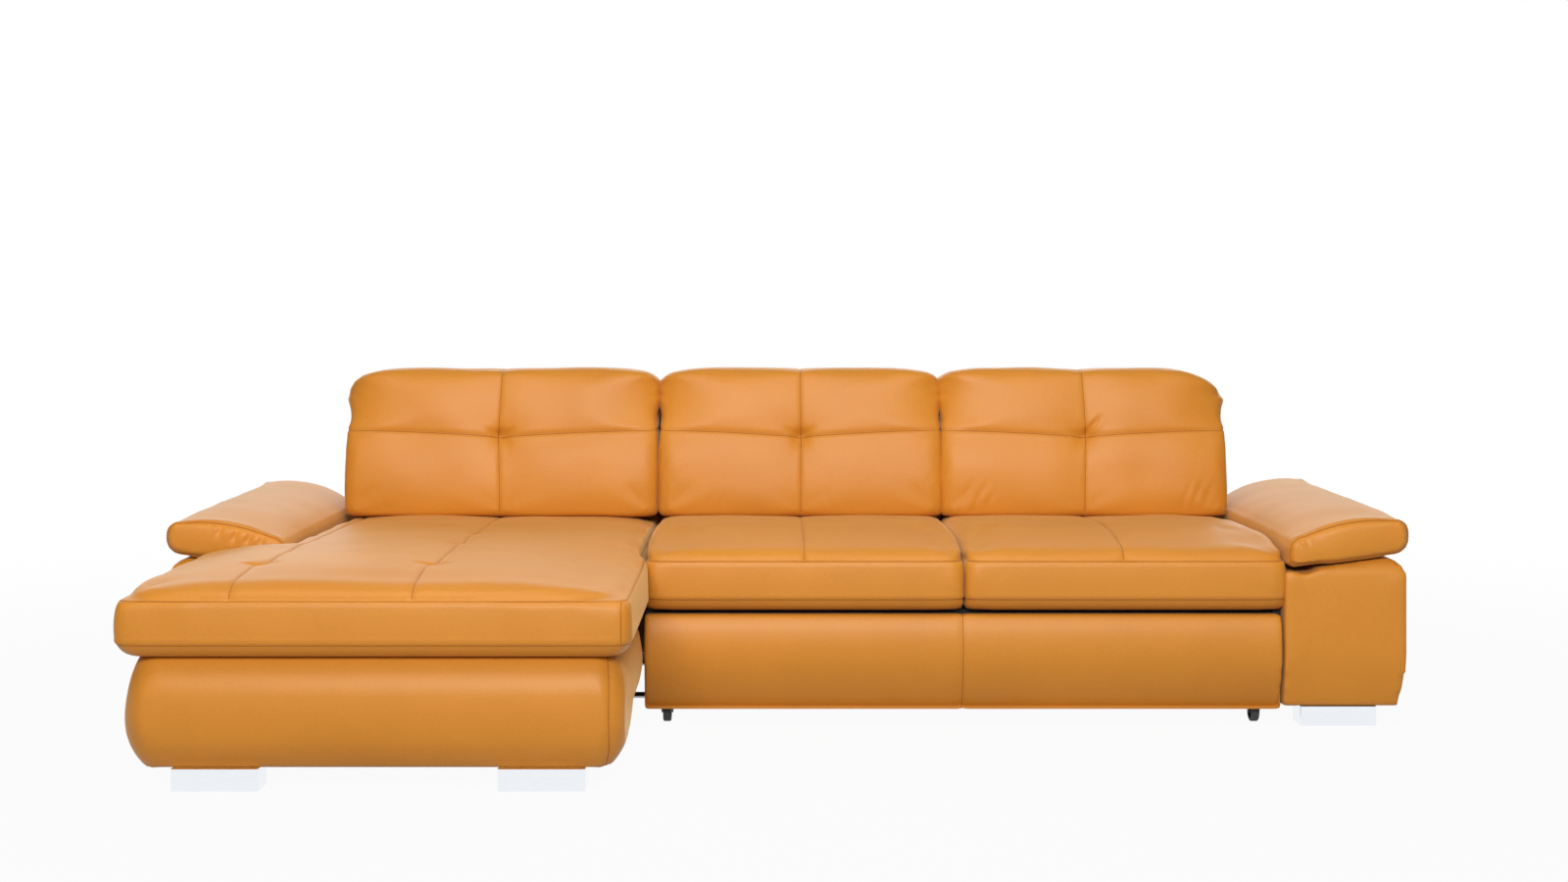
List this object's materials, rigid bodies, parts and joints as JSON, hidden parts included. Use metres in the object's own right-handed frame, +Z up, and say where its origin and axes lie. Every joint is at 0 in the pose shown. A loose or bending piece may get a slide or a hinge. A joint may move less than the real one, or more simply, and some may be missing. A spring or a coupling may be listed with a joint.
{
  "type": "corner sofa",
  "caption": "Leather corner sofa bed: chaise with low tilting arm pads, tufted back cushions with fold-up headrests, and a pull-out bed front on castors.",
  "frame": {"origin": "on the floor, at the middle of the outline's width and depth", "axes": "+X along the sofa's width towards the two seats, +Y towards the back, +Z up"},
  "size_m": [2.9002, 1.72, 0.81],
  "materials": {
    "leather": "satin",
    "chrome": "polished",
    "black_plastic": "satin",
    "timber": "matte",
    "steel": "satin",
    "webbing": "matte",
    "mattress_cover": "matte",
    "nylon": "satin",
    "wheel_rubber": "satin"
  },
  "bodies": {
    "root": {"chaise_front_panel": "leather", "chaise_left_panel": "leather", "chaise_right_panel": "leather", "chaise_front_rail": "timber", "chaise_left_rail": "timber", "chaise_right_rail": "timber", "chaise_arm_rail": "timber", "chaise_rear_rail": "timber", "sofa_left_side": "timber", "sofa_right_side": "timber", "sofa_front_rail": "timber", "sofa_rear_rail": "timber", "seat_straps": "webbing", "chaise_back_shell": "leather", "sofa_back_shell": "leather", "module_connectors": "steel", "chaise_foot_left": "chrome", "chaise_foot_right": "chrome", "arm_foot_right": "chrome", "black_feet": "black_plastic", "seat_cushion_middle": "leather", "seat_cushion_right": "leather", "chaise_cushion": "leather", "back_cushion_left": "leather", "back_cushion_middle": "leather", "back_cushion_right": "leather", "headrest_ratchets": "steel", "right_arm_body": "leather", "left_arm_body": "leather", "pad_hinge_feet": "steel", "runner_channels": "steel"},
    "bed_drawer": {"bed_front_panel": "leather", "bed_left_side": "timber", "bed_right_side": "timber", "bed_rear_board": "timber", "bed_slat_base": "timber", "bed_mattress": "mattress_cover", "bed_lift_arms": "steel", "runner_glides": "nylon", "castor_forks": "black_plastic", "castor_axles": "steel"},
    "castor_left": {"castor_wheel_left": "wheel_rubber"},
    "castor_right": {"castor_wheel_right": "wheel_rubber"},
    "headrest_left_body": {"headrest_left": "leather", "headrest_levers_left": "steel", "headrest_rivets_left": "steel"},
    "headrest_middle_body": {"headrest_middle": "leather", "headrest_levers_middle": "steel", "headrest_rivets_middle": "steel"},
    "headrest_right_body": {"headrest_right": "leather", "headrest_levers_right": "steel", "headrest_rivets_right": "steel"},
    "arm_pad_left_body": {"left_arm_pad": "leather", "left_pad_board": "timber", "left_pad_levers": "steel", "left_pad_rivets": "steel"},
    "arm_pad_right_body": {"right_arm_pad": "leather", "right_pad_board": "timber", "right_pad_levers": "steel", "right_pad_rivets": "steel"}
  },
  "joints": [
    {"name": "bed_slide", "type": "slide", "parent": "root", "child": "bed_drawer", "axis": [0, -1, 0], "range_m": [0, 0.6]},
    {"name": "castor_left_roll", "type": "hinge", "parent": "bed_drawer", "child": "castor_left", "pos_m": [-0.283, -0.08, 0.03], "axis": [1, 0, 0], "continuous": true},
    {"name": "castor_right_roll", "type": "hinge", "parent": "bed_drawer", "child": "castor_right", "pos_m": [1.102, -0.08, 0.03], "axis": [1, 0, 0], "continuous": true},
    {"name": "headrest_left_tilt", "type": "hinge", "parent": "root", "child": "headrest_left_body", "pos_m": [-0.75, 0.63, 0.745], "axis": [1, 0, 0], "range_deg": [0, 75]},
    {"name": "headrest_middle_tilt", "type": "hinge", "parent": "root", "child": "headrest_middle_body", "pos_m": [0.04, 0.63, 0.745], "axis": [1, 0, 0], "range_deg": [0, 75]},
    {"name": "headrest_right_tilt", "type": "hinge", "parent": "root", "child": "headrest_right_body", "pos_m": [0.786, 0.63, 0.745], "axis": [1, 0, 0], "range_deg": [0, 75]},
    {"name": "arm_pad_left_tilt", "type": "hinge", "parent": "root", "child": "arm_pad_left_body", "pos_m": [-1.204, 0.3, 0.409], "axis": [0, 1, 0], "range_deg": [0, 45]},
    {"name": "arm_pad_right_tilt", "type": "hinge", "parent": "root", "child": "arm_pad_right_body", "pos_m": [1.204, 0.3, 0.409], "axis": [0, -1, 0], "range_deg": [0, 45]}
  ]
}
